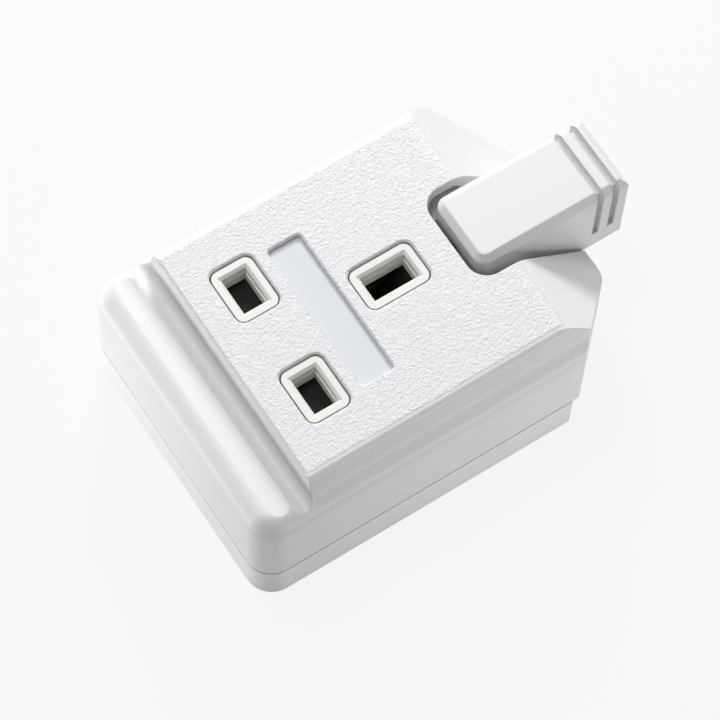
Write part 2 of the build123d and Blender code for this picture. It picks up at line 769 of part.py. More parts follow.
def groove_outline(foot_x):
    """Side view of one groove, leaning like the guard's end, from its foot to above the top."""
    shift = guard_lean * (guard_top - groove_foot) / (guard_top - guard_bottom)
    return [
        (foot_x - groove_width / 2, groove_foot),
        (foot_x - groove_width / 2 + shift, guard_top),
        (foot_x + groove_width / 2 + shift, guard_top),
        (foot_x + groove_width / 2, groove_foot),
    ]


# The two grooves that run up one side of the guard, across its top and down the other side
with BuildPart() as guard_grooves:
    for foot_x in (groove_x - groove_pitch, groove_x):
        with BuildSketch(Plane.XZ):
            with BuildLine():
                Polyline(*groove_outline(foot_x), close=True)
            make_face()
        extrude(amount=guard_width, both=True)
    with BuildSketch(Plane.YZ.offset(guard_x)):
        with BuildLine():
            Polyline(*guard_section(guard_top - guard_fall - groove_depth, groove_depth), close=True)
        make_face()
    extrude(amount=2 * (guard_end_x - guard_x), mode=Mode.SUBTRACT)


# Cord guard: bevelled top, drafted sides, leaning end, two grooves, ears and the cord's bore
with BuildPart() as cord_guard:
    with BuildSketch(Plane.YZ.offset(guard_x)):
        with BuildLine():
            Polyline(*guard_section(guard_top), close=True)
        make_face()
    extrude(amount=guard_end_x - guard_x)
    with BuildSketch(Plane.XZ):
        with BuildLine():
            Polyline(
                (guard_x, guard_bottom),
                (guard_x, guard_top),
                (guard_end_x, guard_top - guard_fall),
                (guard_end_x - guard_lean, guard_bottom),
                close=True,
            )
        make_face()
    extrude(amount=guard_width, both=True, mode=Mode.INTERSECT)
    upright_edges = cord_guard.edges().filter_by(lambda edge: abs(edge.tangent_at(0).Z) > 0.9)
    fillet(upright_edges.group_by(Axis.X)[0], guard_corner)
    chamfer(cord_guard.faces().sort_by(Axis.Z)[-1].edges(), guard_bevel)
    add(guard_grooves.part, mode=Mode.SUBTRACT)
    with BuildSketch(Plane.XY.offset(guard_bottom)):
        with Locations((clamp_x, 0)):
            RectangleRounded(ear_length, ear_width, screw_radius)
    extrude(amount=ear_thickness)
    with BuildSketch(Plane.YZ.offset(guard_x - wall)):
        with Locations((0, cord_height)):
            Circle(cord_radius)
    extrude(amount=guard_end_x - guard_x + 2 * wall, mode=Mode.SUBTRACT)
    with BuildSketch(Plane.XY.offset(guard_bottom)):
        with Locations((clamp_x, 0)):
            Rectangle(
                clamp_pad_length + 2 * clamp_window_gap, clamp_pad_width + 2 * clamp_window_gap
            )
    extrude(amount=cord_height - guard_bottom, mode=Mode.SUBTRACT)
    with BuildSketch(Plane.XY.offset(guard_bottom)):
        with Locations(*clamp_places):
            Circle(screw_clearance)
    extrude(amount=ear_thickness, mode=Mode.SUBTRACT)

cord_guard.part.label = "cord_guard"
export_step(cord_guard.part, "parts/cord_guard.step")


# Cord clamp: a bar across the guard, with a ribbed pad that reaches the cord through the window
with BuildPart() as cord_clamp:
    with BuildSketch(Plane.XY.offset(clamp_bottom)):
        with Locations((clamp_x, 0)):
            RectangleRounded(clamp_length, ear_width - 1, screw_radius)
    extrude(amount=clamp_thickness)
    with BuildSketch(Plane.XY.offset(guard_bottom)):
        with Locations((clamp_x, 0)):
            Rectangle(clamp_pad_length, clamp_pad_width)
    extrude(amount=cord_height - cord_radius + clamp_pad_reach - guard_bottom)
    with BuildSketch(Plane.YZ.offset(clamp_x - clamp_length)):
        with Locations((0, cord_height)):
            Circle(cord_radius)
    extrude(amount=2 * clamp_length, mode=Mode.SUBTRACT)
    with BuildSketch(Plane.XY.offset(clamp_bottom)):
        with Locations(*clamp_places):
            Circle(screw_clearance)
    extrude(amount=clamp_thickness, mode=Mode.SUBTRACT)

cord_clamp.part.label = "cord_clamp"
export_step(cord_clamp.part, "parts/cord_clamp.step")


def make_screw(name, place, head_z, head_radius, head_height, reach):
    """Cross-recessed pan-head screw that points up, with the head below head_z."""
    with BuildPart() as screw:
        with BuildSketch(Plane.XY.offset(head_z)):
            with Locations(place):
                Circle(screw_radius)
        extrude(amount=reach)
        chamfer(screw.faces().sort_by(Axis.Z)[-1].edges(), screw_radius / 2)
        with BuildSketch(Plane.XY.offset(head_z)):
            with Locations(place):
                Circle(head_radius)
        extrude(amount=-head_height)
        chamfer(screw.faces().sort_by(Axis.Z)[0].edges(), head_height / 3)
        with BuildSketch(Plane.XY.offset(head_z - head_height)):
            with Locations(place):
                Rectangle(head_radius, screw_slot_width)
                Rectangle(screw_slot_width, head_radius)
        extrude(amount=head_height / 2, mode=Mode.SUBTRACT)
    screw.part.label = name
    export_step(screw.part, "parts/" + name + ".step")


for index, place in enumerate(clamp_places, start=1):
    make_screw(
        "clamp_screw_" + str(index),
        place,
        clamp_bottom,
        clamp_head_radius,
        clamp_head_height,
        clamp_screw_reach,
    )
for index, place in enumerate(carrier_screw_places, start=1):
    make_screw(
        "carrier_screw_" + str(index),
        place,
        carrier_bottom,
        carrier_head_radius,
        carrier_head_height,
        carrier_screw_reach,
    )
for index, place in enumerate(cover_screw_places, start=1):
    make_screw(
        "cover_screw_" + str(index),
        place,
        counterbore_depth,
        cover_head_radius,
        cover_head_height,
        cover_screw_reach,
    )


# Base: a tray with a lip inside the cover, screw bosses, and posts below the contacts
base_boss_radius = cover_head_radius + counterbore_gap + boss_wall
with BuildPart() as base_cover:
    extrude(base_plan.sketch, amount=base_height)
    with BuildSketch(Plane.XY.offset(base_floor)):
        add(base_inner_plan.sketch)
        offset(amount=-lip_gap)
    extrude(amount=base_height - base_floor + lip_height)
    with BuildSketch(Plane.XY.offset(base_floor)):
        add(base_inner_plan.sketch)
        offset(amount=-lip_gap - lip_wall)
    extrude(amount=base_height, mode=Mode.SUBTRACT)
    with BuildSketch(Plane.XY.offset(base_floor)):
        with Locations(*cover_screw_places):
            Circle(base_boss_radius)
    extrude(amount=base_height - base_floor + lip_height)
    with BuildSketch(Plane.XY.offset(base_height)):
        with Locations(*cover_screw_places):
            Circle(base_boss_radius + wall)
    extrude(amount=lip_height, mode=Mode.SUBTRACT)
    extrude(base_plan.sketch, amount=base_height + lip_height, mode=Mode.INTERSECT)
    with BuildSketch(Plane.XY.offset(base_floor)):
        with Locations(*live_places):
            Rectangle(post_size, post_size)
    extrude(amount=live_pocket_floor - strip_thickness - post_gap - base_floor)
    with BuildSketch(Plane.XY.offset(base_floor)):
        with Locations((earth_x, 0)):
            Rectangle(post_size, post_size)
    extrude(amount=earth_pocket_floor - strip_thickness - post_gap - base_floor)
    chamfer(base_cover.faces().sort_by(Axis.Z)[0].edges(), foot_chamfer)
    with BuildSketch():
        with Locations(*cover_screw_places):
            Circle(cover_head_radius + counterbore_gap)
    extrude(amount=counterbore_depth, mode=Mode.SUBTRACT)
    with BuildSketch():
        with Locations(*cover_screw_places):
            Circle(screw_clearance)
    extrude(amount=base_height, mode=Mode.SUBTRACT)

base_cover.part.label = "base_cover"
export_step(base_cover.part, "parts/base_cover.step")
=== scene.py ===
# %% [markdown]
# # A trailing socket, finished in Blender
#
# The real object is a white moulded box for one plug with three flat pins. Its cover has a raised
# plateau with a fine grain, a smooth recessed strip, three windows and a notch. The warm white pads
# with the pin slots stand in the windows, and the cord guard sits in the notch. Behind the slots a
# black shutter slides on a small spring.
#
# The solids come from CAD and keep their shape here. This lesson gives every surface its finish,
# winds the shutter's spring with closed ends, adds the flanges that show beside the guard, and
# lights the object softly.

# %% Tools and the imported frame
import json
import math

import bmesh
import bpy
from mathutils import Matrix, Vector


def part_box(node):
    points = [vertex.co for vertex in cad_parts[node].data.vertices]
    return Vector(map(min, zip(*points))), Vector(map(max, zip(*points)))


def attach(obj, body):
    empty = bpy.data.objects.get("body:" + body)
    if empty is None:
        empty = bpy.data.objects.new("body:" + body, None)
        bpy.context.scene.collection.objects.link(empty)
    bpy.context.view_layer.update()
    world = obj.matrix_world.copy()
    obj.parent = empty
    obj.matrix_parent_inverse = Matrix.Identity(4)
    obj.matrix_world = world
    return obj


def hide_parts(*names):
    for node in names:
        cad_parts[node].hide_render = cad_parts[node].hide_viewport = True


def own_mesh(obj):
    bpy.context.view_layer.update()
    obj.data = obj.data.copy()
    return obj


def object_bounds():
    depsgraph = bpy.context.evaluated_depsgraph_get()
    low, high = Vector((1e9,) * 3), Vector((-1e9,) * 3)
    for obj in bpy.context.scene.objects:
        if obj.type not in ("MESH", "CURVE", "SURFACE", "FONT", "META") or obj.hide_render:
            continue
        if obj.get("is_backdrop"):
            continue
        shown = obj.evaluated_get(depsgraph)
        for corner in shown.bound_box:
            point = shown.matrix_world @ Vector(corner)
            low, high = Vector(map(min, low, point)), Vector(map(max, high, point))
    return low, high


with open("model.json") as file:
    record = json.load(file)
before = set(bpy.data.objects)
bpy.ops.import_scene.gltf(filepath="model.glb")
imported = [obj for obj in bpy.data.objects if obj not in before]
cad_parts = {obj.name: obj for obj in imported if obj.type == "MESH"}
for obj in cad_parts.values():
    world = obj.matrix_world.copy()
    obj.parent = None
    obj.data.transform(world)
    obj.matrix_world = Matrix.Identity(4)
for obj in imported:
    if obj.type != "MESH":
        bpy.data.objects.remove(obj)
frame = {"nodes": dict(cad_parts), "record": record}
cad_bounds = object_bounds()


def plain(value):
    """Turns vectors and tuples of vectors into plain lists of numbers."""
    if hasattr(value, "__len__"):
        return [plain(item) for item in value]
    return float(value)


# %% [markdown]
# ## Where things are
#
# A finish often has to know where it is: the grain stops at the plateau's edge, for instance. Blender
# counts in metres and a maker in millimetres, so one name, `MM`, turns the one into the other. Three
# places on the cover are read from its solid, and the cells further on measure from them.

# %% Places on the socket
MM = 0.001
housing = "housing"

low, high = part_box("top_cover")
closed_end = low[0]
front_side = low[1]
face_height = high[2]
print("cover starts at", round(closed_end / MM, 2), "mm, its face is at", round(face_height / MM, 2), "mm")

# %% [markdown]
# ## Small helpers for shader nodes
#
# Materials are graphs of nodes. These helpers keep the cells short: one adds a node and sets its
# values, one joins two sockets, one multiplies two values, one starts a material with its Principled
# shader, and one finds a node again in a finished material.

# %% Helpers for nodes
def add_node(tree, kind, label="", **values):
    """Adds a shader or geometry node, then sets its properties or its unlinked inputs by name."""
    node = tree.nodes.new(kind)
    node.label = label
    for name, value in values.items():
        if hasattr(node, name):
            setattr(node, name, value)
        else:
            node.inputs[name.replace("_", " ")].default_value = value
    return node


def join(tree, source, target):
    """Links an output socket to an input socket."""
    tree.links.new(source, target)


def multiply(tree, first, second, label="both"):
    """Multiplies two value sockets. Of two masks, that keeps only what both let through."""
    product = add_node(tree, "ShaderNodeMath", label, operation="MULTIPLY")
    join(tree, first, product.inputs[0])
    join(tree, second, product.inputs[1])
    return product.outputs[0]


def new_material(name):
    """Returns a new material and its Principled shader."""
    material = bpy.data.materials.new(name)
    material.use_nodes = True
    return material, material.node_tree.nodes["Principled BSDF"]


def find_node(material, kind):
    """Returns the node of one kind in a material that has only one of that kind."""
    return [node for node in material.node_tree.nodes if node.type == kind][0]


# %% [markdown]
# ## A shared effect: moulded plastic
#
# Injection-moulded plastic is never perfectly even. Its colour drifts by a percent over a few
# centimetres, its gloss changes a little where the melt cooled at another rate, and a fine skin
# texture breaks up reflections. Each plastic could have these nodes in its own material, but then a
# change would have to be made six times. So all of them share one node group, with their own values.

# %% A helper for the sockets of a group
def add_socket(group, name, kind, value=None, output=False):
    """Makes one named input or output of a node group."""
    side = "OUTPUT" if output else "INPUT"
    socket = group.interface.new_socket(name=name, in_out=side, socket_type=kind)
    if value is not None:
        socket.default_value = value


# %% The moulded skin group
skin = bpy.data.node_groups.new("Moulded skin", "ShaderNodeTree")
add_socket(skin, "Colour", "NodeSocketColor", (0.8, 0.8, 0.8, 1))
add_socket(skin, "Drift", "NodeSocketFloat", 0.03)
add_socket(skin, "Roughness", "NodeSocketFloat", 0.35)
add_socket(skin, "Roughness change", "NodeSocketFloat", 0.08)
add_socket(skin, "Skin scale", "NodeSocketFloat", 2500.0)
add_socket(skin, "Skin depth", "NodeSocketFloat", 0.004 * MM)
add_socket(skin, "Colour", "NodeSocketColor", output=True)
add_socket(skin, "Roughness", "NodeSocketFloat", output=True)
add_socket(skin, "Height", "NodeSocketFloat", output=True)

skin_in = add_node(skin, "NodeGroupInput")
skin_out = add_node(skin, "NodeGroupOutput")
skin_place = add_node(skin, "ShaderNodeTexCoord")
print("group made:", skin.name, "with", len(skin.interface.items_tree), "sockets")

# %% [markdown]
# The drift is a very large, soft noise. It only darkens the colour, so the written colour stays the
# lightest one that the group gives. The gloss varies with a second noise, in patches of about a
# centimetre. The skin itself is a much finer noise, handed out as a height in metres.

# %% Slow drift of the colour
drift = add_node(skin, "ShaderNodeTexNoise", "slow drift", Scale=28.0, Detail=2.0)
join(skin, skin_place.outputs["Object"], drift.inputs["Vector"])
drift_amount = multiply(skin, drift.outputs["Fac"], skin_in.outputs["Drift"], "drift amount")
darken = add_node(skin, "ShaderNodeMix", "darken", data_type="RGBA", blend_type="MULTIPLY")
darken.inputs["B"].default_value = (0.0, 0.0, 0.0, 1)
join(skin, drift_amount, darken.inputs["Factor"])
join(skin, skin_in.outputs["Colour"], darken.inputs["A"])
join(skin, darken.outputs["Result"], skin_out.inputs["Colour"])
print("drift over about", round(100 / drift.inputs["Scale"].default_value, 1), "cm")

# %% Patches of gloss, and the fine skin
gloss = add_node(skin, "ShaderNodeTexNoise", "gloss patches", Scale=90.0, Detail=3.0)
join(skin, skin_place.outputs["Object"], gloss.inputs["Vector"])
gloss_shift = add_node(skin, "ShaderNodeMath", "gloss shift", operation="MULTIPLY_ADD")
join(skin, gloss.outputs["Fac"], gloss_shift.inputs[0])
join(skin, skin_in.outputs["Roughness change"], gloss_shift.inputs[1])
join(skin, skin_in.outputs["Roughness"], gloss_shift.inputs[2])
join(skin, gloss_shift.outputs[0], skin_out.inputs["Roughness"])

fine = add_node(skin, "ShaderNodeTexNoise", "fine skin", Detail=2.0)
join(skin, skin_place.outputs["Object"], fine.inputs["Vector"])
join(skin, skin_in.outputs["Skin scale"], fine.inputs["Scale"])
skin_height = multiply(skin, fine.outputs["Fac"], skin_in.outputs["Skin depth"], "skin height")
join(skin, skin_height, skin_out.inputs["Height"])
print("the skin group has", len(skin.nodes), "nodes")

# %% [markdown]
# A plain plastic is then a few lines: place the group, set its values, and send its outputs to the
# shader. The bump node turns the height in metres into a normal, so its distance stays at one. It
# starts from the normal of a Bevel node, because no moulded edge is knife sharp: the radius of the
# tool that cut the mould shows as a soft line of light along each edge.

# %% A helper that makes a plain plastic
def plastic(name, colour, roughness, edge, drift=0.03, scale=2500.0, depth=0.004 * MM):
    """Makes a moulded plastic from the shared skin group. The edge is the radius of its edges."""
    material, shader = new_material(name)
    tree = material.node_tree
    group = add_node(tree, "ShaderNodeGroup", node_tree=skin)
    group.inputs["Colour"].default_value = (*colour, 1)
    group.inputs["Drift"].default_value = drift
    group.inputs["Roughness"].default_value = roughness
    group.inputs["Skin scale"].default_value = scale
    group.inputs["Skin depth"].default_value = depth
    rounded = add_node(tree, "ShaderNodeBevel", "rounded edges", samples=6, Radius=edge)
    bump = add_node(tree, "ShaderNodeBump", "skin bump", Strength=1.0, Distance=1.0)
    join(tree, rounded.outputs["Normal"], bump.inputs["Normal"])
    join(tree, group.outputs["Colour"], shader.inputs["Base Color"])
    join(tree, group.outputs["Roughness"], shader.inputs["Roughness"])
    join(tree, group.outputs["Height"], bump.inputs["Height"])
    join(tree, bump.outputs["Normal"], shader.inputs["Normal"])
    return material


# %% [markdown]
# ## The cover: smooth sides and a grained plateau
#
# The mould of the real cover was spark-eroded on the plateau only, which leaves a grain of short
# crinkled ridges half a millimetre across. The flanks, the slope, the strip and the rounded
# shoulder are polished. Two materials could share the cover, but its faces would have to be picked
# one by one and the border would be hard. So one material does both, with a mask worked out from
# Object coordinates. A thin clear coat stands for the shine of the polished mould.

# %% The cover's smooth plastic
cover_finish = plastic(
    "Cover plastic",
    colour=(0.79, 0.787, 0.805),
    roughness=0.42,
    edge=0.35 * MM,
    drift=0.02,
    depth=0.003 * MM,
)
cover_shader = find_node(cover_finish, "BSDF_PRINCIPLED")
cover_shader.inputs["IOR"].default_value = 1.52
cover_shader.inputs["Coat Weight"].default_value = 0.05
cover_shader.inputs["Coat Roughness"].default_value = 0.12
print("cover:", cover_finish.name)

# %% [markdown]
# A mask is built from limits. Each limit is 1 on one side of an edge and 0 on the other, with a soft
# step between, because a border in a mould is never drawn with a knife.

# %% Helpers for soft limits along one axis
def above(tree, source, edge, step):
    """Gives 1 above an edge and 0 below it. The change is spread over the width of the step."""
    limit = add_node(tree, "ShaderNodeMapRange", "soft limit", interpolation_type="SMOOTHSTEP")
    join(tree, source, limit.inputs["Value"])
    limit.inputs["From Min"].default_value = edge - step / 2
    limit.inputs["From Max"].default_value = edge + step / 2
    return limit.outputs["Result"]


def below(tree, source, edge, step):
    """Gives 1 below an edge and 0 above it. A step that runs backwards is all that it takes."""
    return above(tree, source, edge, -step)


# %% [markdown]
# The grain covers the plateau from just inside its left edge to the start of the slope, and stays
# clear of the long edges. The recessed strip lies lower, so a limit on the height leaves it smooth.

# %% The mask of the grained face, which also takes the painted light
cover_tree = cover_finish.node_tree
where = add_node(cover_tree, "ShaderNodeTexCoord")
axes = add_node(cover_tree, "ShaderNodeSeparateXYZ")
join(cover_tree, where.outputs["Object"], axes.inputs[0])
middle_line = add_node(cover_tree, "ShaderNodeMath", "distance from the middle line", operation="ABSOLUTE")
join(cover_tree, axes.outputs["Y"], middle_line.inputs[0])
along = axes.outputs["X"]
sideways = middle_line.outputs[0]
height = axes.outputs["Z"]

grain_start = closed_end + 12.0 * MM
grain_end = closed_end + 64.0 * MM
grain_half = 23.6 * MM
grain_lowest = face_height - 0.4 * MM
grain_and_painted_light_mask = above(cover_tree, along, grain_start, step=0.4 * MM)
grain_and_painted_light_mask = multiply(cover_tree, grain_and_painted_light_mask, below(cover_tree, along, grain_end, step=1.2 * MM))
grain_and_painted_light_mask = multiply(cover_tree, grain_and_painted_light_mask, below(cover_tree, sideways, grain_half, step=0.8 * MM))
grain_and_painted_light_mask = multiply(cover_tree, grain_and_painted_light_mask, above(cover_tree, height, grain_lowest, step=0.2 * MM))
print("grain from", round(grain_start / MM, 1), "to", round(grain_end / MM, 1), "mm along the body")

# %% [markdown]
# Crinkled ridges come from a noise that is bent by another noise before it is read. Real displacement
# could raise them, but it would need millions of faces, and a bump gives the same light and shade at
# this distance. The noise keeps to the middle of its range, so the ridges rise about a tenth of a
# millimetre above the valleys.

# %% The crinkled grain
bend_reach = 0.7 * MM
grain_depth = 0.36 * MM
warp = add_node(cover_tree, "ShaderNodeTexNoise", "warp", Scale=700.0, Detail=1.0)
join(cover_tree, where.outputs["Object"], warp.inputs["Vector"])
bend = add_node(cover_tree, "ShaderNodeVectorMath", "bend", operation="MULTIPLY_ADD")
join(cover_tree, warp.outputs["Color"], bend.inputs[0])
bend.inputs[1].default_value = (bend_reach, bend_reach, bend_reach)
join(cover_tree, where.outputs["Object"], bend.inputs[2])
ridges = add_node(cover_tree, "ShaderNodeTexNoise", "ridges", Scale=2000.0, Detail=3.0, Roughness=0.6)
join(cover_tree, bend.outputs[0], ridges.inputs["Vector"])
grain = add_node(cover_tree, "ShaderNodeMath", "ridge height", operation="MULTIPLY")
join(cover_tree, ridges.outputs["Fac"], grain.inputs[0])
grain.inputs[1].default_value = grain_depth
print("the noise of the grain is", round(grain_depth / MM, 2), "mm deep")

# %% [markdown]
# The plateau keeps the fine skin of the plastic and gets the masked grain on top of it, so the two
# heights are added before they reach the bump node.

# %% Add the grain to the skin
skin_and_grain = add_node(cover_tree, "ShaderNodeMath", "skin plus grain", operation="ADD")
cover_skin = find_node(cover_finish, "GROUP")
cover_bump = find_node(cover_finish, "BUMP")
join(cover_tree, multiply(cover_tree, grain.outputs[0], grain_and_painted_light_mask), skin_and_grain.inputs[0])
join(cover_tree, cover_skin.outputs["Height"], skin_and_grain.inputs[1])
join(cover_tree, skin_and_grain.outputs[0], cover_bump.inputs["Height"])
print("the bump reads", cover_bump.inputs["Height"].links[0].from_node.label)

# %% [markdown]
# The grain also scatters light more evenly than the polished parts, so the mask raises the roughness
# on the plateau. It also paints the plateau a little whiter, which is painted light: the upward face is
# made brighter than the cover's other faces. The valleys get a trace of grey, which is painted shade
# that makes the grain show in flat light.

# %% Roughness of the grain, with painted light and painted shade
def lay_over(tree, label, amount, under, colour):
    """Mixes a plain colour over a colour socket, as far as the amount socket says."""
    mix = add_node(tree, "ShaderNodeMix", label, data_type="RGBA")
    join(tree, amount, mix.inputs["Factor"])
    join(tree, under, mix.inputs["A"])
    mix.inputs["B"].default_value = (*colour, 1)
    return mix.outputs["Result"]


grain_roughness = 0.62
# Painted light: the plateau is painted whiter than the rest of the cover. Painted shade: a trace of grey in
# the grain's valleys.
grain_painted_light = (0.85, 0.845, 0.87)
valley_painted_shade = (0.55, 0.55, 0.57)
most_painted_shade = 0.12
matt = add_node(cover_tree, "ShaderNodeMix", "matt on the grain", data_type="FLOAT")
join(cover_tree, grain_and_painted_light_mask, matt.inputs["Factor"])
join(cover_tree, cover_skin.outputs["Roughness"], matt.inputs["A"])
matt.inputs["B"].default_value = grain_roughness
join(cover_tree, matt.outputs["Result"], cover_shader.inputs["Roughness"])

valleys = add_node(cover_tree, "ShaderNodeMapRange", "valleys", From_Min=0.5, From_Max=0.3, To_Max=most_painted_shade)
join(cover_tree, ridges.outputs["Fac"], valleys.inputs["Value"])
valley_shade_mask = multiply(cover_tree, valleys.outputs["Result"], grain_and_painted_light_mask)
whiter = lay_over(cover_tree, "painted light on the grain", grain_and_painted_light_mask, cover_skin.outputs["Colour"], grain_painted_light)
shaded = lay_over(cover_tree, "painted shade in the valleys", valley_shade_mask, whiter, valley_painted_shade)
print("grain roughness", grain_roughness, "with at most", most_painted_shade, "of the grey in its valleys")

# %% [markdown]
# The recessed strip was polished flat in the mould. It mirrors the room instead of scattering light,
# so it reads slightly darker and cooler than the grain around it. Its own colour is set darker and
# cooler too, which is painted shade and painted reflection, because the soft boxes of a studio are
# brighter than a room. Its mask is a box around its floor: limits along X and Y, and two on the height.

# %% Painted shade on the recessed strip
strip_middle = closed_end + 31.7 * MM
strip_half_width = 3.3 * MM
strip_half_length = 15.1 * MM
strip_top = face_height - 0.6 * MM
strip_bottom = face_height - 1.4 * MM
# Painted shade and reflection: the strip is the cover's plastic, painted darker and cooler.
strip_painted_shade = (0.67, 0.69, 0.715)
offset = add_node(cover_tree, "ShaderNodeMath", "offset from the strip's middle", operation="SUBTRACT")
join(cover_tree, along, offset.inputs[0])
offset.inputs[1].default_value = strip_middle
across = add_node(cover_tree, "ShaderNodeMath", "distance across", operation="ABSOLUTE")
join(cover_tree, offset.outputs[0], across.inputs[0])

strip_shade_mask = below(cover_tree, across.outputs[0], strip_half_width, step=0.1 * MM)
strip_shade_mask = multiply(cover_tree, strip_shade_mask, below(cover_tree, sideways, strip_half_length, step=0.1 * MM))
strip_shade_mask = multiply(cover_tree, strip_shade_mask, below(cover_tree, height, strip_top, step=0.4 * MM))
strip_shade_mask = multiply(cover_tree, strip_shade_mask, above(cover_tree, height, strip_bottom, step=0.2 * MM))
cover_colour = lay_over(cover_tree, "painted shade on the strip", strip_shade_mask, shaded, strip_painted_shade)
join(cover_tree, cover_colour, cover_shader.inputs["Base Color"])
print("strip around", round(strip_middle / MM, 2), "mm along the body")

# %% [markdown]
# ## The other plastics
#
# The base comes from a similar white resin, a touch lighter and without a grain, and the guard is a
# flexible satin white. Both need nothing but the shared skin with their own values.

# %% Base and guard
base_finish = plastic(
    "Base plastic",
    colour=(0.83, 0.83, 0.835),
    roughness=0.34,
    edge=0.4 * MM,
    drift=0.02,
)
guard_finish = plastic(
    "Guard plastic",
    colour=(0.77, 0.77, 0.78),
    roughness=0.38,
    edge=0.5 * MM,
    drift=0.02,
    scale=1800.0,
)
print("white mouldings:", base_finish.name, "and", guard_finish.name)

# %% [markdown]
# The insert is a tougher, slightly warm white. Light goes a little way into it and comes out again
# beside its place of entry, which softens the rims of the slots. A paler colour alone would look like
# chalk, so the shader's subsurface scattering does it.

# %% The insert, which lets a little light in
insert_finish = plastic(
    "Insert plastic",
    colour=(0.84, 0.83, 0.80),
    roughness=0.26,
    edge=0.12 * MM,
    depth=0.002 * MM,
)
insert_shader = find_node(insert_finish, "BSDF_PRINCIPLED")
insert_shader.inputs["Subsurface Weight"].default_value = 0.12
insert_shader.inputs["Subsurface Radius"].default_value = (1.0, 0.8, 0.6)
insert_shader.inputs["Subsurface Scale"].default_value = 0.6 * MM
print("insert:", insert_finish.name)

# %% [markdown]
# The shutter and the carrier behind the slots are dark, so that nobody notices them from outside. A
# black plastic still shines at a flat angle, so the shutter's specular level is lowered as well.

# %% The dark mouldings behind the slots
shutter_finish = plastic(
    "Shutter plastic",
    colour=(0.006, 0.006, 0.006),
    roughness=0.55,
    edge=0.15 * MM,
    drift=0.3,
    scale=1800.0,
)
shutter_shader = find_node(shutter_finish, "BSDF_PRINCIPLED")
shutter_shader.inputs["Specular IOR Level"].default_value = 0.2
carrier_finish = plastic(
    "Carrier plastic",
    colour=(0.10, 0.10, 0.105),
    roughness=0.48,
    edge=0.2 * MM,
    drift=0.2,
    scale=1500.0,
)
print("plastics:", [item.name for item in bpy.data.materials if "plastic" in item.name])

# %% [markdown]
# ## A shared effect: worked metal
#
# Pressed brass and plated screws show fine lines where a tool has passed, and a thin tarnish that
# changes the colour in patches. The lines are a noise stretched along X, the way the strip was
# rolled. The brass, the screws and the spring wire differ only in their values, so they share a group.

# %% The worked metal group
metal = bpy.data.node_groups.new("Worked metal", "ShaderNodeTree")
add_socket(metal, "Bright", "NodeSocketColor", (0.7, 0.7, 0.7, 1))
add_socket(metal, "Tarnish", "NodeSocketColor", (0.5, 0.5, 0.5, 1))
add_socket(metal, "Tarnish amount", "NodeSocketFloat", 0.5)
add_socket(metal, "Roughness", "NodeSocketFloat", 0.3)
add_socket(metal, "Line depth", "NodeSocketFloat", 0.003 * MM)
add_socket(metal, "Colour", "NodeSocketColor", output=True)
add_socket(metal, "Roughness", "NodeSocketFloat", output=True)
add_socket(metal, "Height", "NodeSocketFloat", output=True)
metal_in = add_node(metal, "NodeGroupInput")
metal_out = add_node(metal, "NodeGroupOutput")
metal_place = add_node(metal, "ShaderNodeTexCoord")
print("group made:", metal.name, "with", len(metal.interface.items_tree), "sockets")

# %% [markdown]
# A Mapping node squeezes the noise across the strip and hardly along it, which draws it out into
# lines. The tarnish is a noise of its own. Where it lies, the metal is duller in colour and rougher.

# %% Rolled lines
stretch = add_node(metal, "ShaderNodeMapping", "stretch along X", vector_type="POINT")
stretch.inputs["Scale"].default_value = (180.0, 5200.0, 5200.0)
join(metal, metal_place.outputs["Object"], stretch.inputs["Vector"])
lines = add_node(metal, "ShaderNodeTexNoise", "rolled lines", Scale=1.0, Detail=3.0)
join(metal, stretch.outputs[0], lines.inputs["Vector"])
line_height = multiply(metal, lines.outputs["Fac"], metal_in.outputs["Line depth"], "line height")
join(metal, line_height, metal_out.inputs["Height"])
print("the lines are drawn out by", [round(value) for value in stretch.inputs["Scale"].default_value])

# %% Tarnish patches
rougher_by = 0.15
patches = add_node(metal, "ShaderNodeTexNoise", "tarnish patches", Scale=260.0, Detail=4.0)
join(metal, metal_place.outputs["Object"], patches.inputs["Vector"])
patch_amount = multiply(metal, patches.outputs["Fac"], metal_in.outputs["Tarnish amount"], "patch amount")
metal_mix = add_node(metal, "ShaderNodeMix", "tarnish", data_type="RGBA")
join(metal, patch_amount, metal_mix.inputs["Factor"])
join(metal, metal_in.outputs["Bright"], metal_mix.inputs["A"])
join(metal, metal_in.outputs["Tarnish"], metal_mix.inputs["B"])
join(metal, metal_mix.outputs["Result"], metal_out.inputs["Colour"])
rougher = add_node(metal, "ShaderNodeMath", "rougher patches", operation="MULTIPLY_ADD")
join(metal, patches.outputs["Fac"], rougher.inputs[0])
rougher.inputs[1].default_value = rougher_by
join(metal, metal_in.outputs["Roughness"], rougher.inputs[2])
join(metal, rougher.outputs[0], metal_out.inputs["Roughness"])
print("the metal group has", len(metal.nodes), "nodes")

# %% [markdown]
# The contacts and terminals are yellow brass, the screws are plated steel, and the spring is a darker
# drawn wire.

# %% A helper for the metals
def worked_metal(name, bright, tarnish, amount, roughness, depth):
    """Makes a metal from the shared group. The depth is that of its rolled lines."""
    material, shader = new_material(name)
    tree = material.node_tree
    shader.inputs["Metallic"].default_value = 1.0
    group = add_node(tree, "ShaderNodeGroup", node_tree=metal)
    group.inputs["Bright"].default_value = (*bright, 1)
    group.inputs["Tarnish"].default_value = (*tarnish, 1)
    group.inputs["Tarnish amount"].default_value = amount
    group.inputs["Roughness"].default_value = roughness
    group.inputs["Line depth"].default_value = depth
    bump = add_node(tree, "ShaderNodeBump", "line bump", Strength=1.0, Distance=1.0)
    join(tree, group.outputs["Colour"], shader.inputs["Base Color"])
    join(tree, group.outputs["Roughness"], shader.inputs["Roughness"])
    join(tree, group.outputs["Height"], bump.inputs["Height"])
    join(tree, bump.outputs["Normal"], shader.inputs["Normal"])
    return material


